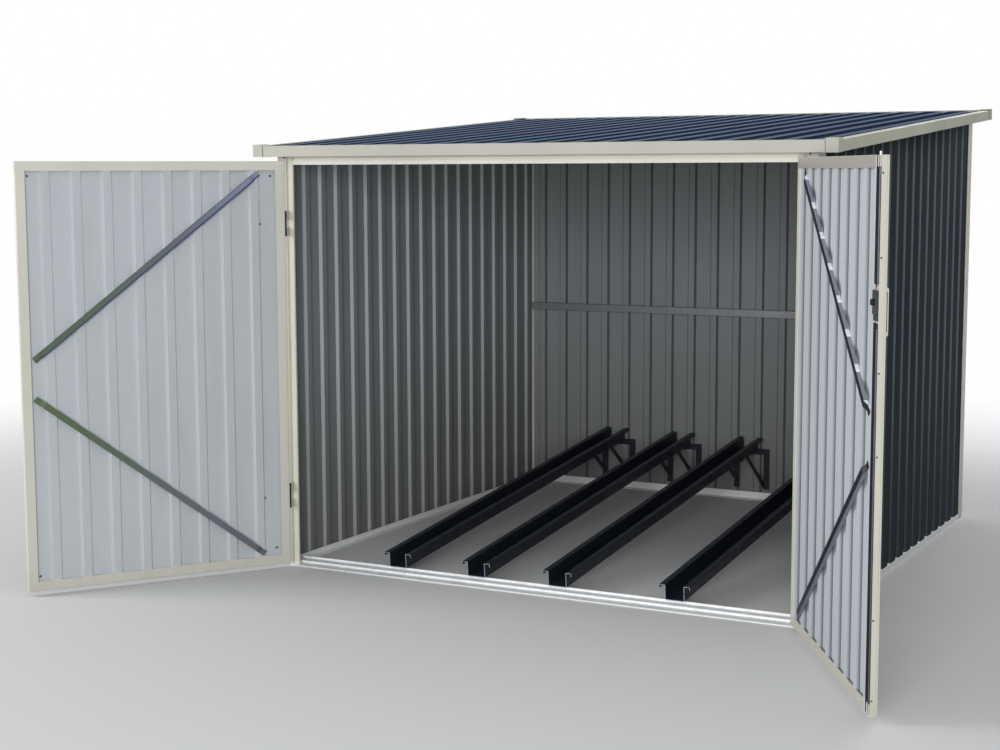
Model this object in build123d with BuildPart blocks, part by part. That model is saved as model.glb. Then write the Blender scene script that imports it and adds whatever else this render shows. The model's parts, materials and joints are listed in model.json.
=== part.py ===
"""Bike shelter: a low lean-to of ribbed sheet metal with two hinged doors and four wheel tracks."""
import os
from math import cos, floor, radians, sin, tan

from build123d import *

os.makedirs("parts", exist_ok=True)

# Overall sizes, in millimetres. The origin is on the ground at the middle of the door opening.
body_width = 1910.0
body_depth = 1915.0
front_height = 1450.0
roof_pitch = 4.1
side_overhang = 70.0
front_overhang = 42.0
rear_overhang = 5.0

# Sheet metal
frame_gauge = 1.5
clad_gauge = 1.0
rib_pitch = 100.0
rib_depth = 10.0
crest_width = 62.0
flank_width = 7.0
clad_depth = rib_depth + clad_gauge
wall_crest = 10.0
back_crest = -46.0

# Front frame
jamb_band = 36.0
jamb_groove = 9.0
jamb_stop = 18.0
jamb_return = 8.0
jamb_lip = 13.0
groove_depth = 6.0
post_flange = 60.0
header_drop = 63.0
header_stop = 16.0
header_flange = 25.0

# Stepped door sill
sill_toe = 17.0
front_tread = 5.0
sill_riser = 25.0
rear_tread = 12.0
sill_lip = 63.0
sill_depth = 67.0
sill_height = 19.0
sill_gauge = 2.0

# Rails along the walls
rail_seat = 20.0
rail_flange = 50.0
rail_height = 19.0
rear_rail_height = 28.0
top_rail_leg = 30.0
top_rail_flange = 26.0
girt_level = 761.0
girt_height = 30.0
girt_depth = 18.0
beam_depth = 32.0
beam_flange = 28.0

# Roof trims
trim_height = 36.0
trim_lip = 30.0
trim_return = 18.0
rear_trim_rise = 2.0
cap_length = 38.0
cap_rise = 3.5
cap_corner = 3.0

# Doors
left_open = 124.0
right_open = 121.0
axis_inset = 44.0
axis_forward = 22.0
leaf_edge = 8.0
meeting_gap = 6.0
leaf_bottom = 16.0
leaf_drop = 50.0
leaf_outer = -6.0
leaf_thickness = 20.0
stile_width = 31.0
left_crest = 63.0
right_crest = 99.0
brace_width = 20.0
brace_depth = 10.0
brace_tab = 22.0
brace_slope = 14.0
brace_start = 100.0
brace_margin = 10.0
brace_gap = 10.0
brace_split = 123.0
brace_drop = 3.5
lower_hinge = 249.0
upper_hinge_drop = 211.0
hinge_height = 85.0
knuckle_radius = 4.0
pin_radius = 2.0
pin_clearance = 0.1
knuckle_gap = 0.5
hinge_plate = 2.0
hinge_neck = 3.0
neck_shift = 1.0

# Lock channel, lock, pull and bolts on the free edge of the right door
channel_width = 53.0
channel_step = 5.0
lock_top = 1075.0
lock_height = 75.0
lock_width = 46.0
pad_height = 59.0
pad_width = 30.0
pad_depth = 5.0
knob_level = 1046.0
knob_radius = 8.0
knob_depth = 8.0
tail_height = 81.0
tail_width = 32.0
bridge_height = 14.0
bridge_cut = 10.0
bar_height = 5.0
lower_bolt_top = 980.0
handle_level = 1022.0
handle_height = 120.0
handle_width = 18.0
handle_reach = 9.0
handle_grip = 2.5
handle_leg = 9.0
handle_bend = 6.0
handle_inner_bend = 4.0
bolt_radius = 2.8
bolt_rise = 9.0
bolt_drop = 6.0
guide_width = 30.0
guide_height = 28.0
lock_edge = 2.0

# Wheel tracks
track_centres = (-524.0, -219.0, 82.0, 493.0)
track_pitch = 6.0
track_width = 66.0
track_height = 48.0
track_lip = 17.5
track_hook = 10.0
track_gauge = 2.0
track_start = 58.0
track_rear_gap = 12.5
stand_gauge = 4.0
stand_leg = 24.0
stand_height = 42.0
stand_bar = 25.0
strut_width = 26.0
strut_reach = 255.0

# Derived places
half_width = body_width / 2
slope = tan(radians(roof_pitch))
roof_half_width = half_width + side_overhang
crest_level = clad_depth
lip_level = crest_level + frame_gauge
eave_height = front_height - lip_level / cos(radians(roof_pitch))
roof_length = (front_overhang + body_depth + rear_overhang) / cos(radians(roof_pitch))
opening_top = front_height - header_drop
wall_inside = half_width - frame_gauge - clad_depth
rear_inside = body_depth - frame_gauge - clad_depth
stop_outer = half_width - jamb_band - jamb_groove
opening_half = stop_outer - jamb_stop
hinge_half = half_width - axis_inset
leaf_end = hinge_half - meeting_gap / 2
leaf_inner = leaf_outer + leaf_thickness
leaf_top = front_height - leaf_drop
leaf_seat = leaf_inner - frame_gauge
hinge_levels = (lower_hinge, leaf_top - upper_hinge_drop)
track_end = rear_inside - track_rear_gap
LEFT = -1
RIGHT = 1


def roof_level(y):
    """Height of the underside of the roof sheet at depth y."""
    return eave_height + (y + front_overhang) * slope


def folded(points, gauge):
    """Closed outline of a strip that follows the points, with its gauge to the left of the way."""
    ways = [(Vector(*b) - Vector(*a)).normalized() for a, b in zip(points, points[1:])]
    normals = [Vector(-way.Y, way.X) for way in ways]
    befores = normals[:1] + normals
    afters = normals + normals[-1:]
    inner = []
    for point, before, after in zip(points, befores, afters):
        mitre = (before + after) * (gauge / (1 + before.dot(after)))
        inner.append((point[0] + mitre.X, point[1] + mitre.Y))
    return list(points) + inner[::-1]


def round_bends(section, points, gauge):
    """Round the outside of each bend of the folded strip drawn in the open sketch."""
    outline = folded(points, gauge)
    bends = []
    for index in range(1, len(points) - 1):
        before, here, after = (Vector(*point) for point in points[index - 1:index + 2])
        turn = (here - before).cross(after - here).Z
        outer = outline[index] if turn * gauge > 0 else outline[-1 - index]
        bends.append(section.vertices().sort_by_distance(outer)[0])
    fillet(bends, abs(gauge))


def rib_height(u, centre):
    """Height of the ribbed line at u, where a crest lies over the centre and every whole pitch."""
    offset_from_crest = abs((u - centre + rib_pitch / 2) % rib_pitch - rib_pitch / 2)
    beyond = max(0.0, offset_from_crest - crest_width / 2)
    return rib_depth * max(0.0, 1 - beyond / flank_width)


def ribbed(start, stop, centre, outward):
    """Corner points of the ribbed line between two places; outward is 1 or -1."""
    half_crest = crest_width / 2
    half_base = half_crest + flank_width
    points = [(start, outward * rib_height(start, centre))]
    first = floor((start - centre) / rib_pitch)
    last = floor((stop - centre) / rib_pitch) + 1
    for index in range(first, last + 1):
        crest = centre + index * rib_pitch
        for u, v in ((-half_base, 0), (-half_crest, rib_depth), (half_crest, rib_depth), (half_base, 0)):
            if start + clad_gauge < crest + u < stop - clad_gauge:
                points.append((crest + u, outward * v))
    points.append((stop, outward * rib_height(stop, centre)))
    return points


def bar(plane, points, gauge, length):
    """A strip folded along the points on a plane and run out along the plane's normal."""
    with BuildPart() as piece:
        with BuildSketch(plane) as section:
            with BuildLine():
                Polyline(*folded(points, gauge), close=True)
            make_face()
            round_bends(section, points, gauge)
        extrude(amount=length)
    return piece


def mirrored(piece):
    """The same piece on the other side of the shelter."""
    with BuildPart() as twin:
        mirror(piece.part, about=Plane.YZ)
    return twin


def save(piece, name):
    """Label a finished piece and write its file."""
    piece.part.label = name
    export_step(piece.part, f"parts/{name}.step")


# Planes of the roof: its underside, and the section across the ribs at the rear edge
underside = Plane(
    origin=(0, -front_overhang, eave_height),
    x_dir=(1, 0, 0),
    z_dir=(0, -sin(radians(roof_pitch)), cos(radians(roof_pitch))),
)
rear_section = Plane(
    origin=(0, body_depth + rear_overhang, roof_level(body_depth + rear_overhang)),
    x_dir=(1, 0, 0),
    z_dir=(0, -cos(radians(roof_pitch)), -sin(radians(roof_pitch))),
)


def side_section(x):
    """Upright plane at x that looks along +X: its own x runs up the slope and its y off the roof."""
    return Plane(
        origin=(x, -front_overhang, eave_height),
        x_dir=(0, cos(radians(roof_pitch)), sin(radians(roof_pitch))),
        z_dir=(1, 0, 0),
    )


# Door sill: a flat front tread, a step up and an upstand that carries the wheel tracks
sill_line = [
    (-sill_toe, 0),
    (-sill_toe, front_tread),
    (sill_riser, front_tread),
    (sill_riser, rear_tread),
    (sill_lip, rear_tread),
    (sill_lip, sill_height),
    (sill_depth, sill_height),
    (sill_depth, 0),
    (sill_depth - sill_gauge, 0),
    (sill_depth - sill_gauge, rear_tread - sill_gauge),
    (sill_riser + sill_gauge, rear_tread - sill_gauge),
    (sill_riser + sill_gauge, 0),
]
with BuildPart() as door_sill:
    with BuildSketch(Plane.YZ.offset(-(half_width - jamb_band))):
        with BuildLine():
            Polyline(*sill_line, close=True)
        make_face()
    extrude(amount=2 * (half_width - jamb_band))
save(door_sill, "door_sill")

# Base rails: a seat for the sheet with a flange on the ground
rail_front = max(post_flange, sill_depth)
with BuildPart() as base_rail_left:
    with BuildSketch(Plane.XZ.offset(-(body_depth - post_flange))):
        with Locations((-half_width, 0)):
            Rectangle(rail_flange, frame_gauge, align=(Align.MIN, Align.MIN))
            Rectangle(frame_gauge, rail_height, align=(Align.MIN, Align.MIN))
        with Locations((-half_width + rail_seat, 0)):
            Rectangle(frame_gauge, rail_height, align=(Align.MAX, Align.MIN))
    extrude(amount=body_depth - post_flange - rail_front)
base_rail_right = mirrored(base_rail_left)
with BuildPart() as base_rail_back:
    with BuildSketch(Plane.YZ.offset(-(half_width - post_flange))):
        with Locations((body_depth, 0)):
            Rectangle(rail_flange, frame_gauge, align=(Align.MAX, Align.MIN))
            Rectangle(frame_gauge, rail_height, align=(Align.MAX, Align.MIN))
        with Locations((body_depth - rail_seat, 0)):
            Rectangle(frame_gauge, rear_rail_height, align=(Align.MIN, Align.MIN))
    extrude(amount=2 * (half_width - post_flange))
save(base_rail_left, "base_rail_left")
save(base_rail_right, "base_rail_right")
save(base_rail_back, "base_rail_back")

# Front jambs: side flange, front band, hinge groove, door stop and inner return. The stop stands on the sill.
stop_foot = rear_tread if jamb_return > sill_riser else front_tread
jamb_line = [
    (-half_width, post_flange),
    (-half_width, 0),
    (-stop_outer - jamb_groove, 0),
    (-stop_outer - jamb_groove, groove_depth),
    (-stop_outer, groove_depth),
    (-stop_outer, 0),
    (-opening_half, 0),
    (-opening_half, jamb_return),
    (-opening_half - jamb_lip, jamb_return),
]
with BuildPart() as jamb_left:
    with BuildSketch(Plane.XY) as jamb_section:
        with BuildLine():
            Polyline(*folded(jamb_line, frame_gauge), close=True)
        make_face()
        round_bends(jamb_section, jamb_line, frame_gauge)
    extrude(amount=front_height)
    with BuildSketch(Plane.XZ):
        with Locations((-half_width + jamb_band, 0)):
            Rectangle(2 * jamb_band, stop_foot, align=(Align.MIN, Align.MIN))
    extrude(amount=-sill_depth, mode=Mode.SUBTRACT)
    split(bisect_by=underside, keep=Keep.BOTTOM)
jamb_right = mirrored(jamb_left)
save(jamb_left, "jamb_left")
save(jamb_right, "jamb_right")

# Rear corner posts
post_line = [
    (-half_width, body_depth - post_flange),
    (-half_width, body_depth),
    (-half_width + post_flange, body_depth),
]
with BuildPart() as post_left:
    with BuildSketch(Plane.XY) as post_section:
        with BuildLine():
            Polyline(*folded(post_line, -frame_gauge), close=True)
        make_face()
        round_bends(post_section, post_line, -frame_gauge)
    extrude(amount=roof_level(body_depth) + rib_pitch)
    split(bisect_by=underside, keep=Keep.BOTTOM)
post_right = mirrored(post_left)
save(post_left, "corner_post_left")
save(post_right, "corner_post_right")

# Door header between the jambs
header_line = [
    (header_flange, roof_level(header_flange)),
    (0, roof_level(0)),
    (0, opening_top + header_stop + groove_depth),
    (groove_depth, opening_top + header_stop + groove_depth),
    (groove_depth, opening_top + header_stop),
    (0, opening_top + header_stop),
    (0, opening_top),
    (jamb_return, opening_top),
]
door_header = bar(Plane.YZ.offset(-opening_half), header_line, frame_gauge, 2 * opening_half)
save(door_header, "door_header")

# Wall sheets, standing in the base rails and cut to the slope of the roof
sheet_foot = frame_gauge
groove_face = half_width - frame_gauge - rib_depth
with BuildPart() as wall_left:
    with BuildSketch(Plane(origin=(-groove_face, 0, sheet_foot), x_dir=(0, 1, 0), z_dir=(0, 0, 1))):
        with BuildLine():
            Polyline(
                *folded(ribbed(frame_gauge, body_depth - frame_gauge, wall_crest, 1), -clad_gauge),
                close=True,
            )
        make_face()
    extrude(amount=roof_level(body_depth))
    split(bisect_by=underside, keep=Keep.BOTTOM)
wall_right = mirrored(wall_left)
rear_groove_face = body_depth - frame_gauge - rib_depth
with BuildPart() as wall_back:
    with BuildSketch(Plane(origin=(0, rear_groove_face, sheet_foot), x_dir=(1, 0, 0), z_dir=(0, 0, 1))):
        with BuildLine():
            Polyline(*folded(ribbed(-wall_inside, wall_inside, back_crest, 1), -clad_gauge), close=True)
        make_face()
    extrude(amount=roof_level(body_depth))
    split(bisect_by=underside, keep=Keep.BOTTOM)
save(wall_left, "wall_left")
save(wall_right, "wall_right")
save(wall_back, "wall_back")

# Top rails under the roof sheet, the middle beam and the rear girt
rail_start = (front_overhang + groove_depth + frame_gauge) / cos(radians(roof_pitch))
side_rail_line = [
    (-wall_inside, -top_rail_leg),
    (-wall_inside, 0),
    (-wall_inside + top_rail_flange, 0),
]
with BuildPart() as top_rail_left:
    with BuildSketch(rear_section) as side_rail_section:
        with BuildLine():
            Polyline(*folded(side_rail_line, -frame_gauge), close=True)
        make_face()
        round_bends(side_rail_section, side_rail_line, -frame_gauge)
    extrude(amount=roof_length - rail_start)
    split(bisect_by=Plane.XZ.offset(-rear_inside), keep=Keep.TOP)
top_rail_right = mirrored(top_rail_left)
beam_half = wall_inside - top_rail_flange
rail_back_line = [
    (rear_inside - top_rail_flange, roof_level(rear_inside - top_rail_flange)),
    (rear_inside, roof_level(rear_inside)),
    (rear_inside, roof_level(rear_inside) - top_rail_leg),
]
top_rail_back = bar(Plane.YZ.offset(-beam_half), rail_back_line, -frame_gauge, 2 * beam_half)
beam_front = body_depth / 2 - beam_flange / 2
beam_rear = body_depth / 2 + beam_flange / 2
beam_line = [
    (beam_rear, roof_level(beam_rear)),
    (beam_front, roof_level(beam_front)),
    (beam_front, roof_level(beam_front) - beam_depth),
    (beam_rear, roof_level(beam_front) - beam_depth),
]
roof_beam = bar(Plane.YZ.offset(-beam_half), beam_line, frame_gauge, 2 * beam_half)
girt_line = [
    (rear_inside, girt_level),
    (rear_inside - girt_depth, girt_level),
    (rear_inside - girt_depth, girt_level + girt_height),
    (rear_inside, girt_level + girt_height),
]
rear_girt = bar(Plane.YZ.offset(-wall_inside), girt_line, -frame_gauge, 2 * wall_inside)
save(top_rail_left, "top_rail_left")
save(top_rail_right, "top_rail_right")
save(top_rail_back, "top_rail_back")
save(roof_beam, "roof_beam")
save(rear_girt, "rear_girt")

# Roof sheet with its ribs running down the slope
roof_sheet_half = roof_half_width - frame_gauge
with BuildPart() as roof_sheet:
    with BuildSketch(rear_section.offset(frame_gauge)):
        with BuildLine():
            section = folded(ribbed(-roof_sheet_half, roof_sheet_half, 0, 1), -clad_gauge)
            Polyline(*[(u, v + clad_gauge) for u, v in section], close=True)
        make_face()
    extrude(amount=roof_length - 2 * frame_gauge)
save(roof_sheet, "roof_sheet")

# Fascias and barges round the roof
trim_foot = lip_level - trim_height
trim_side = roof_half_width - trim_lip
fascia_front = bar(
    side_section(-trim_side),
    [(trim_lip, lip_level), (0, lip_level), (0, trim_foot), (trim_return, trim_foot)],
    frame_gauge,
    2 * trim_side,
)
with BuildPart() as fascia_rear:
    with BuildSketch(side_section(-trim_side)):
        with Locations((roof_length, trim_foot)):
            Rectangle(frame_gauge, trim_height + rear_trim_rise, align=(Align.MAX, Align.MIN))
    extrude(amount=2 * trim_side)
barge_left = bar(
    rear_section,
    [
        (-roof_half_width + trim_return, trim_foot),
        (-roof_half_width, trim_foot),
        (-roof_half_width, lip_level),
        (-roof_half_width + trim_lip, lip_level),
    ],
    -frame_gauge,
    roof_length,
)
barge_right = mirrored(barge_left)
save(fascia_front, "fascia_front")
save(fascia_rear, "fascia_rear")
save(barge_left, "barge_left")
save(barge_right, "barge_right")

# Caps over the four corners of the trims, with a rounded upright corner and an open foot
cap_height = trim_height + cap_rise
cap_reach = cap_length + frame_gauge
with BuildPart() as roof_corner_caps:
    for side in (LEFT, RIGHT):
        across = Align.MIN if side == LEFT else Align.MAX
        corner_x = side * (roof_half_width + frame_gauge)
        for along, corner_y in ((Align.MIN, -frame_gauge), (Align.MAX, roof_length + frame_gauge)):
            with BuildSketch(underside.offset(trim_foot)) as cap_plan:
                with Locations((corner_x, corner_y)):
                    Rectangle(cap_reach, cap_reach, align=(across, along))
                fillet(cap_plan.vertices().sort_by_distance((corner_x, corner_y))[0], cap_corner)
            extrude(amount=cap_height + frame_gauge)
    for side in (LEFT, RIGHT):
        across = Align.MIN if side == LEFT else Align.MAX
        for along, corner_y in ((Align.MIN, 0), (Align.MAX, roof_length)):
            with BuildSketch(underside.offset(trim_foot)):
                with Locations((side * roof_half_width, corner_y)):
                    Rectangle(2 * cap_length, 2 * cap_length, align=(across, along))
            extrude(amount=cap_height, mode=Mode.SUBTRACT)
save(roof_corner_caps, "roof_corner_caps")


# Wheel tracks, resting on the sill's upstand and rising to the stands at the back
def track_foot(y):
    """Height of the underside of the tracks at depth y."""
    return sill_height + (y - sill_lip) * tan(radians(track_pitch))


lip_half = track_width / 2 + track_lip
track_line = [
    (-lip_half, track_height - track_hook),
    (-lip_half, track_height),
    (-track_width / 2, track_height),
    (-track_width / 2, 0),
    (track_width / 2, 0),
    (track_width / 2, track_height),
    (lip_half, track_height),
    (lip_half, track_height - track_hook),
]
track_length = (track_end - track_start) / cos(radians(track_pitch))
for number, centre in enumerate(track_centres, start=1):
    track_rear = Plane(
        origin=(centre, track_end, track_foot(track_end)),
        x_dir=(1, 0, 0),
        z_dir=(0, -cos(radians(track_pitch)), -sin(radians(track_pitch))),
    )
    save(bar(track_rear, track_line, track_gauge, track_length), f"wheel_track_{number}")

stand_half = lip_half + track_gauge
stand_rear = rear_inside
stand_top = track_foot(stand_rear - stand_gauge)
strut_top = stand_rear - strut_reach
strut_level = track_foot(strut_top) + track_height
with BuildPart() as track_stands:
    for centre in track_centres:
        with BuildSketch(Plane.XZ.offset(-stand_rear)):
            with Locations((centre, stand_top)):
                Rectangle(2 * (stand_half + stand_leg), stand_bar, align=(Align.CENTER, Align.MAX))
            for side in (LEFT, RIGHT):
                with Locations((centre + side * (stand_half + stand_leg / 2), stand_height)):
                    Rectangle(stand_leg, stand_top - stand_height, align=(Align.CENTER, Align.MIN))
        extrude(amount=stand_gauge)
        for side in (LEFT, RIGHT):
            with BuildSketch(Plane.YZ.offset(centre + side * stand_half)):
                with BuildLine():
                    Polyline(
                        (stand_rear, stand_height),
                        (stand_rear, stand_height + strut_width),
                        (strut_top + strut_width, strut_level),
                        (strut_top, strut_level),
                        close=True,
                    )
                make_face()
            extrude(amount=side * stand_gauge)
save(track_stands, "track_stands")


# Doors. Each leaf has its own frame: along the leaf from the hinge axis, inward, and up.
def leaf_way(side):
    """Direction along the leaf from its hinge, in its open pose."""
    turned = radians(left_open if side == LEFT else right_open)
    return (-side * cos(turned), -sin(turned), 0)


def leaf_origin(side, along, inward, level):
    """The place in the shelter of a point on the leaf."""
    way = Vector(*leaf_way(side))
    normal = Vector(side * way.Y, -side * way.X)
    start = Vector(side * hinge_half, -axis_forward, level)
    return start + way * along + normal * inward


def leaf_level(side, level):
    """Level plane across a leaf: x along it and y inward."""
    return Plane(origin=leaf_origin(side, 0, 0, level), x_dir=leaf_way(side), z_dir=(0, 0, -side))


def leaf_cross(side, along):
    """Upright plane across a leaf: x inward and y up."""
    origin = leaf_origin(side, along, 0, 0)
    inward = leaf_origin(side, along, 1, 0) - origin
    way = Vector(*leaf_way(side))
    return Plane(origin=origin, x_dir=inward, z_dir=way * -side)


def leaf_face(side, inward):
    """Upright plane on a leaf: x along it and y up."""
    origin = leaf_origin(side, 0, inward, 0)
    out = leaf_origin(side, 0, 1, 0) - leaf_origin(side, 0, 0, 0)
    return Plane(origin=origin, x_dir=leaf_way(side), z_dir=out * side)


def stile(side, line, gauge):
    """Edge profile of a leaf: its end web runs the full height and its flanges stop at the rails."""
    with BuildPart() as piece:
        with BuildSketch(leaf_level(side, leaf_bottom + stile_width)) as section:
            with BuildLine():
                Polyline(*folded(line, gauge), close=True)
            make_face()
            round_bends(section, line, gauge)
        extrude(amount=-side * (leaf_top - leaf_bottom - 2 * stile_width))
        for level in (leaf_bottom, leaf_top - stile_width):
            with BuildSketch(leaf_level(side, level)):
                with BuildLine():
                    Polyline(*folded(line[1:3], gauge), close=True)
                make_face()
            extrude(amount=-side * stile_width)
    return piece


def brace_pair(side, far):
    """Two pressed braces that run from the hinge side's corners to the middle of the free side."""
    seat = leaf_origin(side, 0, leaf_seat, 0)
    way = Vector(*leaf_way(side))
    up = Vector(0, 0, 1)
    inward = leaf_origin(side, 0, 1, 0) - leaf_origin(side, 0, 0, 0)
    meeting = (leaf_bottom + leaf_top) / 2 - brace_drop
    with BuildPart() as braces:
        for level, end in (
            (leaf_top - stile_width - brace_margin, meeting + brace_split / 2),
            (leaf_bottom + stile_width + brace_margin, meeting - brace_split / 2),
        ):
            start = seat + way * brace_start + up * level
            run = seat + way * far + up * end - start
            plane = Plane(origin=start, x_dir=run, z_dir=run.cross(inward))
            length = run.length
            crown = [
                (0, 0),
                (brace_tab, 0),
                (brace_tab + brace_slope, brace_depth - frame_gauge),
                (length - brace_tab - brace_slope, brace_depth - frame_gauge),
                (length - brace_tab, 0),
                (length, 0),
            ]
            with BuildSketch(plane):
                with BuildLine():
                    Polyline(*folded(crown, frame_gauge), close=True)
                make_face()
            extrude(amount=brace_width / 2, both=True)
            for cheek in (brace_width / 2, -brace_width / 2 + frame_gauge):
                with BuildSketch(plane.offset(cheek)):
                    with BuildLine():
                        Polyline(*crown[1:5], close=True)
                    make_face()
                extrude(amount=-frame_gauge)
    return braces


def leaf_frame(side, name, crest, has_channel):
    """Stiles, rails, sheet and braces of one door leaf. Its free edge is a stile or a lock channel."""
    free_width = channel_width if has_channel else stile_width
    stile_line = [
        (leaf_edge + stile_width, leaf_outer),
        (leaf_edge, leaf_outer),
        (leaf_edge, leaf_inner),
        (leaf_edge + stile_width, leaf_inner),
    ]
    free_line = [(leaf_end + leaf_edge - u, v) for u, v in stile_line]
    channel_line = [
        (leaf_end - channel_width, leaf_seat),
        (leaf_end - channel_width, leaf_outer),
        (leaf_end - frame_gauge, leaf_outer),
        (leaf_end - frame_gauge, leaf_outer + channel_step),
        (leaf_end, leaf_outer + channel_step),
        (leaf_end, leaf_inner),
    ]
    rail_line = [
        (leaf_outer, leaf_bottom + stile_width),
        (leaf_outer, leaf_bottom),
        (leaf_inner, leaf_bottom),
        (leaf_inner, leaf_bottom + stile_width),
    ]
    top_line = [(t, leaf_top + leaf_bottom - z) for t, z in rail_line]
    sheet_start = leaf_edge + frame_gauge
    sheet_end = leaf_end - (channel_width if has_channel else frame_gauge)
    cross = leaf_cross(side, sheet_start)
    rail_span = sheet_end - sheet_start
    save(stile(side, stile_line, -frame_gauge), f"{name}_hinge_stile")
    if has_channel:
        channel = bar(leaf_level(side, leaf_bottom), channel_line, frame_gauge, -side * (leaf_top - leaf_bottom))
        save(channel, f"{name}_lock_stile")
    else:
        save(stile(side, free_line, frame_gauge), f"{name}_lock_stile")
    save(bar(cross, rail_line, frame_gauge, -side * rail_span), f"{name}_bottom_rail")
    save(bar(cross, top_line, -frame_gauge, -side * rail_span), f"{name}_top_rail")

    with BuildPart() as sheet:
        with BuildSketch(leaf_level(side, leaf_bottom + frame_gauge)):
            with BuildLine():
                line = ribbed(sheet_start, sheet_end, crest, -1)
                Polyline(*[(u, v + leaf_seat - clad_gauge) for u, v in folded(line, clad_gauge)], close=True)
            make_face()
        extrude(amount=-side * (leaf_top - leaf_bottom - 2 * frame_gauge))
    save(sheet, f"{name}_sheet")
    save(brace_pair(side, leaf_end - free_width - brace_gap), f"{name}_braces")


def leaf_hinges(side, name):
    """Hinge knuckles of the leaf, and the pins and knuckles on the jamb."""
    third = hinge_height / 3
    up = -side
    with BuildPart() as moving:
        for level in hinge_levels:
            start = leaf_level(side, level - third / 2 + knuckle_gap)
            with BuildSketch(start):
                Circle(knuckle_radius)
                with Locations((leaf_edge - hinge_plate, 0)):
                    Rectangle(leaf_edge - hinge_plate, hinge_neck, align=(Align.MAX, Align.CENTER))
                Circle(pin_radius + pin_clearance, mode=Mode.SUBTRACT)
            extrude(amount=up * (third - 2 * knuckle_gap))
            with BuildSketch(leaf_level(side, level - hinge_height / 2)):
                with Locations((leaf_edge, leaf_outer + frame_gauge)):
                    Rectangle(hinge_plate, leaf_thickness - 2 * frame_gauge, align=(Align.MAX, Align.MIN))
            extrude(amount=up * hinge_height)
    save(moving, f"{name}_hinges")
    jamb_side = Plane(origin=(side * hinge_half, -axis_forward, 0))
    with BuildPart() as fixed:
        for level in hinge_levels:
            for start, length in (
                (level - hinge_height / 2, third),
                (level + third / 2, third),
            ):
                with BuildSketch(jamb_side.offset(start)):
                    Circle(knuckle_radius)
                    with Locations((side * (hinge_neck / 2 + neck_shift), 0)):
                        Rectangle(
                            hinge_neck,
                            axis_forward + groove_depth,
                            align=(Align.CENTER, Align.MIN),
                        )
                extrude(amount=length)
            with BuildSketch(jamb_side.offset(level - hinge_height / 2)):
                Circle(pin_radius)
            extrude(amount=hinge_height)
    save(fixed, f"{name}_hinge_pins")


leaf_frame(LEFT, "left_door", left_crest, False)
leaf_hinges(LEFT, "left_door")
leaf_frame(RIGHT, "right_door", right_crest, True)
leaf_hinges(RIGHT, "right_door")

# Lock in the channel of the right door: case, raised pad with its knob, and the tail plate below
channel_floor = leaf_outer + frame_gauge
channel_middle = leaf_end - channel_width / 2
bolt_inward = leaf_seat - bolt_radius
lock_foot = lock_top - lock_height
tail_top = lock_foot - bar_height
with BuildPart() as lock_case:
    with BuildSketch(leaf_face(RIGHT, channel_floor)):
        with Locations((channel_middle, lock_top)):
            Rectangle(lock_width, lock_height, align=(Align.CENTER, Align.MAX))
    extrude(amount=leaf_inner - channel_floor)
    with BuildSketch(leaf_face(RIGHT, leaf_inner)):
        with Locations((channel_middle, lock_top - pad_height / 2)):
            RectangleRounded(pad_width, pad_height, lock_edge)
    extrude(amount=pad_depth)
    with BuildSketch(leaf_face(RIGHT, leaf_inner + pad_depth)):
        with Locations((channel_middle, knob_level)):
            Circle(knob_radius)
    extrude(amount=knob_depth)
    inward_axis = Axis(leaf_origin(RIGHT, 0, 0, 0), leaf_origin(RIGHT, 0, 1, 0) - leaf_origin(RIGHT, 0, 0, 0))
    fillet(lock_case.faces().sort_by(inward_axis)[-1].edges(), lock_edge)
    with BuildSketch(leaf_face(RIGHT, channel_floor)):
        with Locations((channel_middle, tail_top)):
            Rectangle(tail_width, tail_height - tail_width / 2, align=(Align.CENTER, Align.MAX))
        with Locations((channel_middle, tail_top - tail_height + tail_width / 2)):
            Circle(tail_width / 2)
    extrude(amount=bolt_inward - bolt_radius - channel_floor)
save(lock_case, "right_door_lock_case")

# Bow pull on the outer face of the right door
with BuildPart() as handle:
    with BuildSketch(leaf_cross(RIGHT, channel_middle - handle_width / 2)) as bow:
        with Locations((leaf_outer, handle_level)):
            Rectangle(handle_reach, handle_height, align=(Align.MAX, Align.CENTER))
        fillet(bow.vertices().group_by(Axis.X)[0], handle_bend)
    extrude(amount=-RIGHT * handle_width)
    with BuildSketch(leaf_cross(RIGHT, channel_middle - handle_width / 2)) as finger_gap:
        with Locations((leaf_outer, handle_level)):
            Rectangle(
                handle_reach - handle_grip,
                handle_height - 2 * handle_leg,
                align=(Align.MAX, Align.CENTER),
            )
        fillet(finger_gap.vertices().group_by(Axis.X)[0], handle_inner_bend)
    extrude(amount=-RIGHT * handle_width, mode=Mode.SUBTRACT)
save(handle, "right_door_handle")

# Shoot bolts in their guide blocks, and the two bridges across the lock channel
bridge_span = channel_width - 2 * frame_gauge
with BuildPart() as shoot_bolts:
    for start, end, guide in (
        (lock_top, leaf_top + bolt_rise, leaf_top - guide_height),
        (leaf_bottom - bolt_drop, lower_bolt_top, leaf_bottom),
    ):
        with BuildSketch(leaf_level(RIGHT, start)):
            with Locations((channel_middle, bolt_inward)):
                Circle(bolt_radius)
        extrude(amount=-(end - start))
        with BuildSketch(leaf_level(RIGHT, guide)):
            with Locations((channel_middle, channel_floor)):
                Rectangle(guide_width, leaf_seat - channel_floor, align=(Align.CENTER, Align.MIN))
        extrude(amount=-guide_height)
    with BuildSketch(leaf_face(RIGHT, leaf_seat)):
        with Locations((channel_middle, lock_top)):
            Rectangle(bridge_span, bridge_height, align=(Align.CENTER, Align.MIN))
        with Locations((channel_middle, lock_top + bridge_height)):
            Circle(bridge_cut, mode=Mode.SUBTRACT)
        with Locations((channel_middle, lock_foot)):
            Rectangle(bridge_span, bar_height, align=(Align.CENTER, Align.MAX))
    extrude(amount=frame_gauge)
save(shoot_bolts, "right_door_shoot_bolts")
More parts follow.
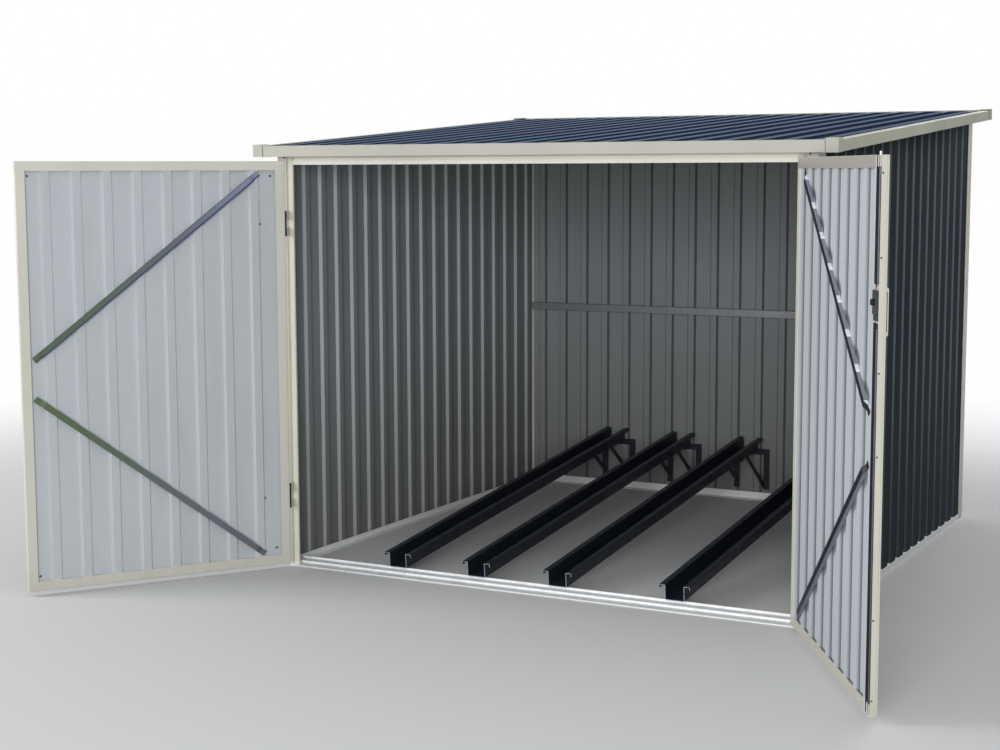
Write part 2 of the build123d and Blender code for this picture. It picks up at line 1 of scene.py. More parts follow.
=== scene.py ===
"""Bike shelter: the finishes of its sheets and profiles, and the small fixings that hold them."""
import json
import logging
import math
from dataclasses import dataclass
from enum import Enum

import bmesh
import bpy
from mathutils import Matrix, Vector
from mathutils.bvhtree import BVHTree


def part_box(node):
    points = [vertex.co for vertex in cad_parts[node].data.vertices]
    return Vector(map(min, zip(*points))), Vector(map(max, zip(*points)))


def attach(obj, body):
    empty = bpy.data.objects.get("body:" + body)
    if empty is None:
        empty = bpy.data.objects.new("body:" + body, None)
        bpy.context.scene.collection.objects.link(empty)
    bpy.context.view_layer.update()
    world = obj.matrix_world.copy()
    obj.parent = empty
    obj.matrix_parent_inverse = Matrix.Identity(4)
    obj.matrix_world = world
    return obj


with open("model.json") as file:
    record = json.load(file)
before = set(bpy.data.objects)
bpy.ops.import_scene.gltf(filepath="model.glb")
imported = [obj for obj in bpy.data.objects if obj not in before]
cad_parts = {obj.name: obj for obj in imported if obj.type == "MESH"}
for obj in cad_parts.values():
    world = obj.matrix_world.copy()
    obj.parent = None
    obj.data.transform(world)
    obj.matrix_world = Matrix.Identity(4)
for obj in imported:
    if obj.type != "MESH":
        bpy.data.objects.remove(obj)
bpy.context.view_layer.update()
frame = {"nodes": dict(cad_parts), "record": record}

LOG = logging.getLogger("bike_shelter")

Colour = tuple[float, float, float]
Direction = tuple[float, float, float]
Place = tuple[float, float, float]
Span = tuple[float, float]
Noise = tuple[float, float]  # scale and finer octaves
Bump = tuple[float, float]  # strength and depth
Feeds = dict[int | str, object]
Socket = bpy.types.NodeSocket

RIGHTWARD: Direction = (1.0, 0.0, 0.0)
REARWARD: Direction = (0.0, 1.0, 0.0)
FRONTWARD: Direction = (0.0, -1.0, 0.0)
UPWARD: Direction = (0.0, 0.0, 1.0)


def linear(red: int, green: int, blue: int) -> Colour:
    """Turn a screen colour into the linear one that a shader takes.

    Args:
        red: Red from 0 to 255.
        green: Green from 0 to 255.
        blue: Blue from 0 to 255.

    Returns:
        The linear colour.
    """
    def channel(value: int) -> float:
        """One channel of the colour."""
        part = value / 255
        return part / 12.92 if part <= 0.04045 else ((part + 0.055) / 1.055) ** 2.4

    return channel(red), channel(green), channel(blue)


def scaled(values: Colour, share: float) -> Colour:
    """Three values, each times a share."""
    return tuple(part * share for part in values)


class Side(Enum):
    """The two ends of the shelter's front, as signs along X."""

    LEFT = -1
    RIGHT = 1


class Nodes:
    """A short way to write a node tree."""

    def __init__(self, tree: bpy.types.NodeTree) -> None:
        """Empty the tree."""
        self.tree = tree
        tree.nodes.clear()

    def give(self, socket: Socket, value: object) -> None:
        """Give an input what it takes.

        Args:
            socket: The input.
            value: A socket to link, a number, a vector or a colour.
        """
        if isinstance(value, Socket):
            self.tree.links.new(value, socket)
        elif socket.type == "RGBA":
            socket.default_value = (*value, 1.0)
        else:
            socket.default_value = value

    def node(self, kind: str, feeds: Feeds, output: int | str = 0, **settings: str) -> Socket:
        """Add a node.

        Args:
            kind: Its type, without the prefix that all share.
            feeds: What each of its inputs takes.
            output: The output that is used.
            settings: Its own properties.

        Returns:
            The output.
        """
        node = self.tree.nodes.new("ShaderNode" + kind)
        for key, value in settings.items():
            setattr(node, key, value)
        for key, value in feeds.items():
            self.give(node.inputs[key], value)
        return node.outputs[output]

    def math(self, operation: str, first: object, second: object = 0.0) -> Socket:
        """A sum or comparison of two numbers."""
        return self.node("Math", {0: first, 1: second}, operation=operation)

    def seen(self) -> Socket:
        """Tell the rays that show the background: from the camera, a gloss or a glass.

        Returns:
            1 for such a ray, else 0.
        """
        path = self.tree.nodes.new("ShaderNodeLightPath").outputs
        direct = self.math("ADD", path["Is Camera Ray"], path["Is Glossy Ray"])
        return self.math("ADD", direct, path["Is Transmission Ray"])


class Shader(Nodes):
    """A material with one surface, and a short way to write its nodes."""

    def __init__(self, name: str) -> None:
        """Start a plain material.

        Args:
            name: The material's name.
        """
        self.material = bpy.data.materials.new(name)
        self.material.use_nodes = True
        super().__init__(self.material.node_tree)
        self.output = self.tree.nodes.new("ShaderNodeOutputMaterial")
        self.surface = self.tree.nodes.new("ShaderNodeBsdfPrincipled")
        self.give(self.output.inputs["Surface"], self.surface.outputs[0])
        self.place = self.tree.nodes.new("ShaderNodeTexCoord")

    def set(self, **values: object) -> None:
        """Feed the surface's own sockets, with underscores for spaces in their names."""
        for key, value in values.items():
            self.give(self.surface.inputs[key.replace("_", " ")], value)

    def stretch(self, scale: Direction = (1.0, 1.0, 1.0)) -> Socket:
        """Object coordinates, scaled along each axis."""
        return self.node("Mapping", {"Vector": self.place.outputs["Object"], "Scale": scale})

    def noise(self, vector: Socket, scale: float, detail: float) -> Socket:
        """Smooth noise from 0 to 1, by its scale and its finer octaves."""
        return self.node("TexNoise", {"Vector": vector, "Scale": scale, "Detail": detail})

    def cells(self, vector: Socket, scale: float) -> Socket:
        """A random colour for each cell of a crystal pattern."""
        return self.node("TexVoronoi", {"Vector": vector, "Scale": scale}, "Color")

    def dot(self, vector: Socket, way: Direction) -> Socket:
        """How far a vector points along a fixed way."""
        return self.node("VectorMath", {0: vector, 1: way}, "Value", operation="DOT_PRODUCT")

    def along(self, way: Direction) -> Socket:
        """How far the place lies along a fixed way."""
        return self.dot(self.place.outputs["Object"], way)

    def facing(self, way: Direction) -> Socket:
        """How far the surface faces a fixed way."""
        return self.dot(self.place.outputs["Normal"], way)

    def height(self) -> Socket:
        """Height above the ground."""
        return self.along(UPWARD)

    def span(self, value: object, low: float, high: float, first: float = 0.0, last: float = 1.0) -> Socket:
        """Map a number smoothly from low and high to first and last, and clamp it."""
        feeds = dict(enumerate((value, low, high, first, last)))
        return self.node("MapRange", feeds, interpolation_type="SMOOTHSTEP")

    def mix(self, share: object, first: object, second: object) -> Socket:
        """Blend two colours."""
        return self.node("Mix", {0: share, 6: first, 7: second}, 2, data_type="RGBA")

    def near(self, value: Socket, middle: float, half: float) -> Socket:
        """1 where a number lies within half of the middle, else 0."""
        away = self.math("ABSOLUTE", self.math("SUBTRACT", value, middle))
        return self.math("LESS_THAN", away, half)

    def bump(self, height: Socket, strength: float, depth: float) -> None:
        """Roughen the surface by a height."""
        self.set(Normal=self.node("Bump", {"Strength": strength, "Distance": depth, "Height": height}))


@dataclass(frozen=True)
class Finish:
    """What every finish has: a name, a colour, and a roughness with its swing."""

    name: str
    colour: Colour
    roughness: float = 0.4
    swing: Span = (-0.05, 0.07)

    def material(self) -> bpy.types.Material:
        """The finish's material, made once.

        Returns:
            The material.
        """
        known = bpy.data.materials.get(self.name)
        if known:
            return known
        shader = Shader(self.name)
        shader.set(Base_Color=self.paint(shader))
        return shader.material

    def paint(self, shader: Shader) -> Socket:
        """Write the finish's nodes, and give its colour."""
        raise NotImplementedError

    def gloss(self, shader: Shader, value: Socket, span: Span) -> None:
        """Let the roughness swing as a number goes over a span."""
        smooth, rough = (self.roughness + part for part in self.swing)
        shader.set(Roughness=shader.span(value, *span, smooth, rough))

    def dress(self, piece: bpy.types.Object) -> None:
        """Put the finish on a piece."""
        piece.data.materials.clear()
        piece.data.materials.append(self.material())


@dataclass(frozen=True)
class PowderCoat(Finish):
    """Baked powder coat: faint orange peel, uneven gloss and dust low down.

    A butt joint, or a painted shadow line at a cap's edge, shows as a line at its distance from the
    middle. Faces that look along the side way can take a painted shade of their own, which can change
    towards the rear.
    """

    roughness: float = 0.42
    gloss_level: float = 0.3
    gloss_span: Span = (0.3, 0.7)
    cloud: Noise = (3.0, 5.0)
    cloud_span: Span = (0.35, 0.7)
    cloud_shade: float = 0.93
    peel: Noise = (700.0, 2.0)
    peel_bump: Bump = (0.12, 0.0004)
    # on the powder coat this is real dust low down
    dust_and_shade: Colour = linear(150, 142, 126)
    dust_and_shade_share: float = 0.35
    dust_and_shade_height: float = 0.16
    speck_stretch: Direction = (1.0, 1.0, 0.4)
    speck: Noise = (24.0, 4.0)
    # the seam line: a real butt joint on the barges, and a painted shadow line at the caps' edges
    seam: float | None = None
    seam_way: Direction = REARWARD
    seam_half: float = 0.0012
    seam_shade: Colour = linear(62, 62, 54)
    # painted shade on the faces along the side way, with another towards the rear
    painted_side_shade: Colour | None = None
    painted_rear_shade: Colour | None = None
    side_way: Direction = RIGHTWARD
    side_facing: float = 0.7
    one_sided: bool = False
    rear_span: Span = (0.5, 1.9)

    def paint(self, shader: Shader) -> Socket:
        """Write the coat's dust, marks, gloss and orange peel.

        Args:
            shader: The material that gets the nodes.

        Returns:
            The coat's colour.
        """
        plain = shader.stretch()
        cloud = shader.noise(plain, *self.cloud)
        shade = scaled(self.colour, self.cloud_shade)
        body = shader.mix(shader.span(cloud, *self.cloud_span), self.colour, shade)
        # the faces along the side way get their painted shade
        if self.painted_side_shade is not None:
            body = self._sides(shader, body)
        low = shader.span(shader.height(), 0.0, self.dust_and_shade_height, self.dust_and_shade_share, 0.0)
        speck = shader.noise(shader.stretch(self.speck_stretch), *self.speck)
        body = shader.mix(shader.math("MULTIPLY", low, speck), body, self.dust_and_shade)
        if self.seam is not None:
            away = shader.math("ABSOLUTE", shader.along(self.seam_way))
            body = shader.mix(shader.near(away, self.seam, self.seam_half), body, self.seam_shade)
        self.gloss(shader, cloud, self.gloss_span)
        shader.set(Specular_IOR_Level=self.gloss_level)
        shader.bump(shader.noise(plain, *self.peel), *self.peel_bump)
        return body

    def _sides(self, shader: Shader, body: Socket) -> Socket:
        """Give the faces along the side way a painted shade of their own.

        Args:
            shader: The coat's material.
            body: The colour of the other faces.

        Returns:
            Both colours, each in its place.
        """
        sideways = shader.facing(self.side_way)
        if not self.one_sided:
            sideways = shader.math("ABSOLUTE", sideways)
        rearward = shader.span(shader.along(REARWARD), *self.rear_span)
        side = shader.mix(rearward, self.painted_side_shade, self.painted_rear_shade or self.painted_side_shade)
        return shader.mix(shader.math("GREATER_THAN", sideways, self.side_facing), body, side)


@dataclass(frozen=True)
class LinedCoat(PowderCoat):
    """Powder coat outside and a dark primer inside a channel that stands upright."""

    lining: Colour = linear(40, 42, 52)
    way: Direction = RIGHTWARD
    inward: Direction = REARWARD
    middle: float = 0.0
    floor: float = 0.0
    floor_facing: float = 0.5
    web_reach: float = 0.012

    def paint(self, shader: Shader) -> Socket:
        """Write both sides of the channel.

        Args:
            shader: The material that gets the nodes.

        Returns:
            The coat's colour outside and the lining's inside.
        """
        across = shader.math("SUBTRACT", shader.along(self.way), self.middle)
        turned_in = shader.math("MULTIPLY", across, shader.facing(self.way))
        webs = shader.math("LESS_THAN", turned_in, -self.web_reach)
        deep = shader.math("LESS_THAN", shader.along(self.inward), self.floor)
        open_side = shader.math("GREATER_THAN", shader.facing(self.inward), self.floor_facing)
        lined = shader.math("MAXIMUM", webs, shader.math("MULTIPLY", deep, open_side))
        return shader.mix(lined, super().paint(shader), self.lining)


@dataclass(frozen=True)
class TwoToneSheet(Finish):
    """Coil-coated sheet: the colour with a painted sheen on its flanks outside, and pale primer inside.

    A rib's two flanks can differ, inside and outside, in painted light and shade. The inner ones can
    have a painted highlight at the ridge that stands inward. The sheen can be kept to the outer crest's
    fold and fade at the foot. Low down, the outside is dusted and the inside darkened by painted shade.
    """

    swing: Span = (0.0, 0.1)
    gloss_level: float = 0.06
    outward: Direction = UPWARD
    outer_facing: float = 0.02
    flank_facing: Span = (0.78, 0.95)
    flank_share: float = 0.9
    inside: Colour = linear(200, 205, 209)
    # inner flanks: painted light and shade, told apart by the lit way; the ridge can take a painted highlight
    inner_flank: Colour = linear(192, 197, 201)
    inner_shade: Colour = linear(192, 197, 201)
    lit_way: Direction | None = None
    ridge: Colour | None = None
    ridge_span: Span = (0.0, 1.0)
    # outer flanks: a painted sheen on those facing the sheen way, the others lightened by the dull share
    flank: Colour = linear(76, 84, 91)
    dull_share: float = 1.6
    sheen_way: Direction | None = None
    sheen_span: Span | None = None
    sheen_heights: Span = (0.05, 0.8)
    foot_sheen: float = 1.0
    # low down: dust on the outside, painted shade on the inner side
    dust_and_shade: Colour = linear(96, 94, 88)
    dust_and_shade_share: float = 0.0
    dust_and_shade_height: float = 0.9
    outer_dust: float = 0.3
    ribs: Direction = (1.0, 1.0, 0.15)
    runs: Noise = (16.0, 4.0)
    run_share: float = 0.6
    cloud: Noise = (2.2, 4.0)
    cloud_share: float = 0.4
    tone_span: Span = (0.35, 0.68)
    outer_tone: float = 1.18
    inner_tone: float = 0.94
    wave_stretch: float = 0.5
    wave: Noise = (9.0, 1.0)
    grain: Noise = (420.0, 2.0)
    grain_share: float = 0.04
    grain_bump: Bump = (0.2, 0.003)

    def paint(self, shader: Shader) -> Socket:
        """Write both sides of the sheet.

        Args:
            shader: The material that gets the nodes.

        Returns:
            The sheet's colour, on either side.
        """
        face = shader.facing(self.outward)
        outer = shader.math("GREATER_THAN", face, self.outer_facing)
        flank = shader.span(shader.math("ABSOLUTE", face), *self.flank_facing, self.flank_share, 0.0)
        low = shader.span(shader.height(), 0.0, self.dust_and_shade_height, self.dust_and_shade_share, 0.0)
        tone = self._tone(shader)
        self.gloss(shader, tone, (0.0, 1.0))
        shader.set(Specular_IOR_Level=self.gloss_level)
        pale = self._inner(shader, tone, flank, low)
        return shader.mix(outer, pale, self._outer(shader, tone, flank, low))

    def _tone(self, shader: Shader) -> Socket:
        """Write the waves and grain, with the runs and clouds of the colour.

        Args:
            shader: The material that gets the nodes.

        Returns:
            How far the colour changes at a place, from 0 to 1.
        """
        plain = shader.stretch()
        wave = shader.noise(shader.stretch(scaled(self.ribs, self.wave_stretch)), *self.wave)
        grain = shader.math("MULTIPLY", shader.noise(plain, *self.grain), self.grain_share)
        shader.bump(shader.math("ADD", wave, grain), *self.grain_bump)
        runs = shader.noise(shader.stretch(self.ribs), *self.runs)
        runs = shader.math("MULTIPLY", runs, self.run_share)
        cloud = shader.math("MULTIPLY", shader.noise(plain, *self.cloud), self.cloud_share)
        return shader.span(shader.math("ADD", runs, cloud), *self.tone_span)

    def _inner(self, shader: Shader, tone: Socket, flank: Socket, low: Socket) -> Socket:
        """Write the inner side.

        Args:
            shader: The sheet's material.
            tone: How far runs and clouds change the colour.
            flank: Where the ribs' flanks are.
            low: Where the inner side darkens low down, as painted shade.

        Returns:
            Its colour.
        """
        pale = shader.mix(tone, self.inside, scaled(self.inside, self.inner_tone))
        # painted light and shade on the inner flanks, with a painted highlight towards the ridge
        side = self._sided(shader, self.lit_way, self.inner_flank, self.inner_shade)
        if self.ridge is not None:
            foot = shader.span(shader.along(self.outward), *self.ridge_span)
            side = shader.mix(foot, self.ridge, side)
        # darker low down: painted shade
        return shader.mix(low, shader.mix(flank, pale, side), self.dust_and_shade)

    def _outer(self, shader: Shader, tone: Socket, flank: Socket, low: Socket) -> Socket:
        """Write the outer side.

        Args:
            shader: The sheet's material.
            tone: How far runs and clouds change the colour.
            flank: Where the ribs' flanks are.
            low: Where dust lies.

        Returns:
            Its colour.
        """
        dark = shader.mix(tone, self.colour, scaled(self.colour, self.outer_tone))
        dark = shader.mix(shader.math("MULTIPLY", low, self.outer_dust), dark, self.dust_and_shade)
        # painted sheen on the flanks, kept to the crest's fold and fading towards the foot
        dull = scaled(self.colour, self.dull_share)
        flank_sheen = self._sided(shader, self.sheen_way, self.flank, dull)
        if self.sheen_span is not None:
            fold = shader.span(shader.along(self.outward), *self.sheen_span)
            flank_sheen = shader.mix(fold, dull, flank_sheen)
        sheen_fade = shader.span(shader.height(), *self.sheen_heights, self.foot_sheen, 1.0)
        return shader.mix(shader.math("MULTIPLY", flank, sheen_fade), dark, flank_sheen)

    @staticmethod
    def _sided(shader: Shader, way: Direction | None, here: Colour, there: Colour) -> Socket | Colour:
        """Tell a rib's two flanks apart, where a way is given.

        Args:
            shader: The sheet's material.
            way: The way that the first flank faces.
            here: Colour of the first flank, and of both without a way.
            there: Colour of the other flank.

        Returns:
            The flanks' colour.
        """
        if way is None:
            return here
        return shader.mix(shader.math("GREATER_THAN", shader.facing(way), 0.0), there, here)


@dataclass(frozen=True)
class Galvanised(Finish):
    """Hot-dip zinc: a faint spangle with duller clouds."""

    swing: Span = (-0.06, 0.14)
    metallic: float = 0.55
    grain: float = 55.0
    grain_weights: Direction = (0.4, 0.3, 0.3)
    grain_share: float = 0.6
    cloud: Noise = (9.0, 5.0)
    cloud_share: float = 0.5
    tone_span: Span = (0.2, 0.9)
    dull_share: float = 0.85
    cloud_bump: Bump = (0.05, 0.0006)

    def paint(self, shader: Shader) -> Socket:
        """Write the spangle and the duller clouds.

        Args:
            shader: The material that gets the nodes.

        Returns:
            The zinc's colour.
        """
        plain = shader.stretch()
        spangle = shader.dot(shader.cells(plain, self.grain), self.grain_weights)
        cloud = shader.noise(plain, *self.cloud)
        shader.bump(cloud, *self.cloud_bump)
        spangle = shader.math("MULTIPLY", spangle, self.grain_share)
        tone = shader.math("ADD", spangle, shader.math("MULTIPLY", cloud, self.cloud_share))
        self.gloss(shader, tone, self.tone_span)
        shader.set(Metallic=self.metallic)
        dull = scaled(self.colour, self.dull_share)
        return shader.mix(shader.span(tone, *self.tone_span), self.colour, dull)


@dataclass(frozen=True)
class BoltZinc(Galvanised):
    """Bolt rod: bright where it stands out of the leaf, darker with painted shade inside its channel."""

    # painted shade on the rod where it runs inside the channel
    channel_shade: Colour = linear(86, 86, 94)
    way: Direction = RIGHTWARD
    middle: float = 0.0
    rod_reach: float = 0.0032
    foot: float = 0.0
    top: float = 1.4

    def paint(self, shader: Shader) -> Socket:
        """Write the zinc and the painted shade.

        Args:
            shader: The material that gets the nodes.

        Returns:
            The colour of both.
        """
        inside = shader.near(shader.height(), (self.foot + self.top) / 2, (self.top - self.foot) / 2)
        rod = shader.near(shader.along(self.way), self.middle, self.rod_reach)
        return shader.mix(shader.math("MULTIPLY", inside, rod), super().paint(shader), self.channel_shade)


@dataclass(frozen=True)
class BraceZinc(Galvanised):
    """Zinc with painted reflections, olive towards the free edge, and painted shade on its cheeks.

    The painted reflections are also duller low down and grey towards the middle. Where set, painted
    glints lie over the ribs, and a painted line of blue shade marks a lip.
    """

    # painted reflections of sky and grass: olive towards the free edge, grey towards the middle, duller low
    # down
    olive_reflection: Colour = linear(84, 104, 74)
    olive_reflection_span: Span = (0.3, 0.8)
    middle: Colour = linear(106, 110, 116)
    reach: float = 0.45
    lower: Colour = linear(112, 114, 122)
    lower_span: Span = (0.6, 0.75)
    # painted shade on the cheeks, or on the face where set
    shade: Colour = linear(58, 64, 86)
    shade_on_face: bool = False
    cheek_facing: Span = (0.2, 0.5)
    way: Direction = RIGHTWARD
    inward: Direction = REARWARD
    start: float = 0.0
    # painted glints where the brace crosses the ribs
    glint: Colour = linear(236, 240, 250)
    first_glint: float | None = None
    pitch: float = 0.1
    glint_half: float = 0.011
    glint_floor: float = 0.72
    # a painted line of blue shade along a lip
    lip_way: Direction | None = None
    lip: float = 0.0
    lip_half: float = 0.0028
    lip_colour: Colour = linear(64, 72, 112)

    def paint(self, shader: Shader) -> Socket:
        """Write the zinc with its painted reflections, lip line, glints and shaded cheeks.

        Args:
            shader: The material that gets the nodes.

        Returns:
            The colour of all.
        """
        along = shader.math("SUBTRACT", shader.along(self.way), self.start)
        body = shader.mix(shader.span(shader.height(), *self.lower_span), self.lower, super().paint(shader))
        body = shader.mix(shader.span(along, 0.0, self.reach), body, self.middle)
        body = shader.mix(shader.span(along, *self.olive_reflection_span), body, self.olive_reflection)
        if self.first_glint is not None:
            body = shader.mix(self._glints(shader, along), body, self.glint)
        if self.lip_way is not None:
            edge = shader.near(shader.along(self.lip_way), self.lip, self.lip_half)
            body = shader.mix(edge, body, self.lip_colour)
        on_cheek, on_face = (0.0, 1.0) if self.shade_on_face else (1.0, 0.0)
        share = shader.span(shader.facing(self.inward), *self.cheek_facing, on_cheek, on_face)
        return shader.mix(share, body, self.shade)

    def _glints(self, shader: Shader, along: Socket) -> Socket:
        """Tell where the painted glints lie: over the ribs, above the glint floor.

        Args:
            shader: The brace's material.
            along: Distance from the hinge along the leaf.

        Returns:
            1 on a patch, else 0.
        """
        steps = shader.math("DIVIDE", shader.math("SUBTRACT", along, self.first_glint), self.pitch)
        offset = shader.math("SUBTRACT", shader.math("FRACT", shader.math("ADD", steps, 0.5)), 0.5)
        patch = shader.near(offset, 0.0, self.glint_half / self.pitch)
        high = shader.math("GREATER_THAN", shader.height(), self.glint_floor)
        return shader.math("MULTIPLY", patch, high)


@dataclass(frozen=True)
class PlainCoat(Finish):
    """A plain coat on small ironwork, worn a little by handling."""

    swing: Span = (-0.05, 0.1)
    worn: Colour = linear(96, 98, 104)
    worn_share: float = 0.3
    worn_span: Span = (0.55, 0.8)
    gloss_level: float = 0.35
    gloss_span: Span = (0.3, 0.7)
    rub: Noise = (38.0, 6.0)
    grain: Noise = (500.0, 2.0)
    grain_bump: Bump = (0.1, 0.0003)

    def paint(self, shader: Shader) -> Socket:
        """Write the coat's gloss, grain and wear.

        Args:
            shader: The material that gets the nodes.

        Returns:
            The coat's colour.
        """
        plain = shader.stretch()
        rub = shader.noise(plain, *self.rub)
        self.gloss(shader, rub, self.gloss_span)
        shader.set(Specular_IOR_Level=self.gloss_level)
        shader.bump(shader.noise(plain, *self.grain), *self.grain_bump)
        return shader.mix(shader.span(rub, *self.worn_span, 0.0, self.worn_share), self.colour, self.worn)


@dataclass(frozen=True)
class TrackCoat(PlainCoat):
    """Dark enamel on a track, with a painted highlight on the cut faces at its front end."""

    end_highlight: Colour = linear(150, 156, 168)
    end_facing: float = 0.9

    def paint(self, shader: Shader) -> Socket:
        """Write the enamel and the painted highlight on the front end, and give their colour."""
        end = shader.math("GREATER_THAN", shader.facing(FRONTWARD), self.end_facing)
        return shader.mix(end, super().paint(shader), self.end_highlight)


@dataclass(frozen=True)
class LockCoat(PlainCoat):
    """Grey lock case with a black turn knob."""

    knob: Colour = linear(14, 14, 16)
    way: Direction = RIGHTWARD
    middle: float = 0.0
    level: float = 1.046
    radius: float = 0.0086

    def paint(self, shader: Shader) -> Socket:
        """Write the case and its knob.

        Args:
            shader: The material that gets the nodes.

        Returns:
            The colour of both.
        """
        across = shader.near(shader.along(self.way), self.middle, self.radius)
        upward = shader.near(shader.height(), self.level, self.radius)
        return shader.mix(shader.math("MULTIPLY", across, upward), super().paint(shader), self.knob)


@dataclass(frozen=True)
class HingeCoat(PlainCoat):
    """Black barrels on an upright axis, with cream plates beside them."""

    plate: Colour = linear(196, 194, 182)
    axis: tuple[float, float] = (0.0, 0.0)
    barrel: float = 0.0046

    def paint(self, shader: Shader) -> Socket:
        """Write the barrels and the plates.

        Args:
            shader: The material that gets the nodes.

        Returns:
            The colour of both.
        """
        squares = []
        for way, middle in zip((RIGHTWARD, REARWARD), self.axis):
            away = shader.math("SUBTRACT", shader.along(way), middle)
            squares.append(shader.math("MULTIPLY", away, away))
        beside = shader.math("GREATER_THAN", shader.math("ADD", *squares), self.barrel ** 2)
        return shader.mix(beside, super().paint(shader), self.plate)


ANTHRACITE = linear(36, 44, 50)
ROOF_NAVY = linear(40, 52, 72)
CREAM_COLOUR = linear(206, 204, 191)
FASCIA_COLOUR = linear(192, 190, 179)
CREAM = PowderCoat("cream powder coat", CREAM_COLOUR)
# a lighter copy of the cream: painted light on the leaves' frames
LEAF_CREAM = PowderCoat("leaf powder coat", linear(224, 222, 210))
ZINC = Galvanised("galvanised steel", linear(150, 153, 156), 0.42)
# near-white zinc on the sill: a painted sheen
PALE_ZINC = Galvanised("white zinc", linear(248, 249, 249), 0.5, metallic=0.1)
RAIL_WHITE = PowderCoat("white rail coat", linear(246, 247, 246), 0.4, dust_and_shade_share=0.15)
TRACK_PAINT = TrackCoat("track enamel", linear(28, 32, 42), 0.36)
STAND_PAINT = PlainCoat("stand enamel", linear(28, 32, 42))
SATIN = Galvanised("satin steel", linear(205, 205, 201), 0.3, metallic=0.7)
SHEET_SCREW = PlainCoat("sheet screw paint", linear(58, 63, 70))
CREAM_SCREW = PlainCoat("cream screw paint", linear(196, 194, 182), worn_share=0.1)
TRIM_SCREW = Galvanised("zinc screw", linear(96, 97, 98), 0.34, metallic=0.8)
BRIGHT_SCREW = Galvanised("bright screw", linear(228, 228, 224), 0.3, metallic=0.5)
FILLER_WHITE = PlainCoat("white filler", linear(244, 244, 242), 0.45, worn_share=0.05)


@dataclass
class PhotoCamera:
    """The camera at the photograph's place: yaw to the left, pitch down and roll, in degrees."""

    place: Place = (2.5201, -4.9184, 1.3635)
    yaw: float = 28.0137
    pitch: float = 6.6933
    roll: float = -0.1851
    lens: float = 62.503
    frame_width: float = 36.0
    reach: float = 200.0

    def build(self) -> None:
        """Make the camera and use it."""
        data = bpy.data.cameras.new("photo_camera")
        data.sensor_fit = "HORIZONTAL"
        data.sensor_width = self.frame_width
        data.lens = self.lens
        data.clip_end = self.reach
        camera = bpy.data.objects.new("photo_camera", data)
        pose = Matrix.Translation(self.place)
        for degrees, axis in ((self.yaw, "Z"), (90.0 - self.pitch, "X"), (self.roll, "Z")):
            pose = pose @ Matrix.Rotation(math.radians(degrees), 4, axis)
        camera.matrix_world = pose
        bpy.context.scene.collection.objects.link(camera)
        bpy.context.scene.camera = camera
        LOG.info("camera at %s", self.place)


@dataclass(frozen=True)
class Lamp:
    """A soft square lamp that faces a target and doesn't show itself."""

    name: str
    place: Place
    target: Place
    size: float
    power: float

    def build(self) -> None:
        """Make the lamp."""
        data = bpy.data.lights.new(self.name, "AREA")
        data.shape = "SQUARE"
        data.size = self.size
        data.energy = self.power
        lamp = bpy.data.objects.new(self.name, data)
        lamp.location = self.place
        ahead = Vector(self.target) - Vector(self.place)
        lamp.rotation_euler = ahead.to_track_quat("-Z", "Y").to_euler()
        lamp.visible_camera = False
        bpy.context.scene.collection.objects.link(lamp)


@dataclass
class Studio:
    """A pale floor that fades into a white background, and soft light mostly from the front."""

    floor_radius: float = 40.0
    floor_sides: int = 96
    floor_drop: float = 0.0005
    floor_roughness: float = 0.9
    floor_gloss: float = 0.05
    fade: Span = (2.4, 6.0)
    floor_colour: Colour = linear(222, 222, 220)
    floor_bounce: Colour = linear(132, 131, 128)
    sky_colour: Colour = linear(246, 249, 255)
    sky_strength: float = 0.5
    backdrop: Colour = (1.0, 1.0, 1.0)
    lamps: tuple[Lamp, ...] = (
        Lamp("key", (-5.5, -3.5, 2.8), (0.0, 0.0, 0.7), 2.6, 190.0),
        Lamp("front", (2.2, -6.3, 1.5), (0.0, 0.0, 0.7), 2.6, 225.0),
        Lamp("rear", (1.5, 6.5, 3.6), (0.0, 1.0, 0.8), 3.0, 120.0),
    )

    def build(self) -> None:
        """Make the floor, the world and the lamps."""
        self._floor()
        self._world()
        for lamp in self.lamps:
            lamp.build()
        bpy.context.scene.view_settings.view_transform = "Standard"
        LOG.info("studio")

    def _floor(self) -> None:
        """Make the floor, white to the eye far from the object."""
        bpy.ops.mesh.primitive_circle_add(
            vertices=self.floor_sides, radius=self.floor_radius, fill_type="NGON",
        )
        floor = bpy.context.object
        floor.name = "floor"
        floor.location.z = -self.floor_drop
        shader = Shader("floor")
        seen = shader.seen()
        shader.set(
            Base_Color=shader.mix(seen, self.floor_bounce, self.floor_colour),
            Roughness=self.floor_roughness, Specular_IOR_Level=self.floor_gloss,
        )
        distance = shader.node("VectorMath", {0: shader.place.outputs["Object"]}, "Value", operation="LENGTH")
        share = shader.math("MULTIPLY", shader.span(distance, *self.fade), seen)
        glow = shader.node("Emission", {})
        blend = shader.node("MixShader", {0: share, 1: shader.surface.outputs[0], 2: glow})
        shader.give(shader.output.inputs["Surface"], blend)
        floor.data.materials.append(shader.material)

    def _world(self) -> None:
        """Make the sky: even light on the object, white to the eye."""
        world = bpy.data.worlds.new("studio")
        bpy.context.scene.world = world
        world.use_nodes = True
        nodes = Nodes(world.node_tree)
        output = nodes.tree.nodes.new("ShaderNodeOutputWorld")
        lit = nodes.node("Background", {"Strength": self.sky_strength, "Color": self.sky_colour})
        white = nodes.node("Background", {"Color": self.backdrop})
        blend = nodes.node("MixShader", {0: nodes.seen(), 1: lit, 2: white})
        nodes.give(output.inputs["Surface"], blend)


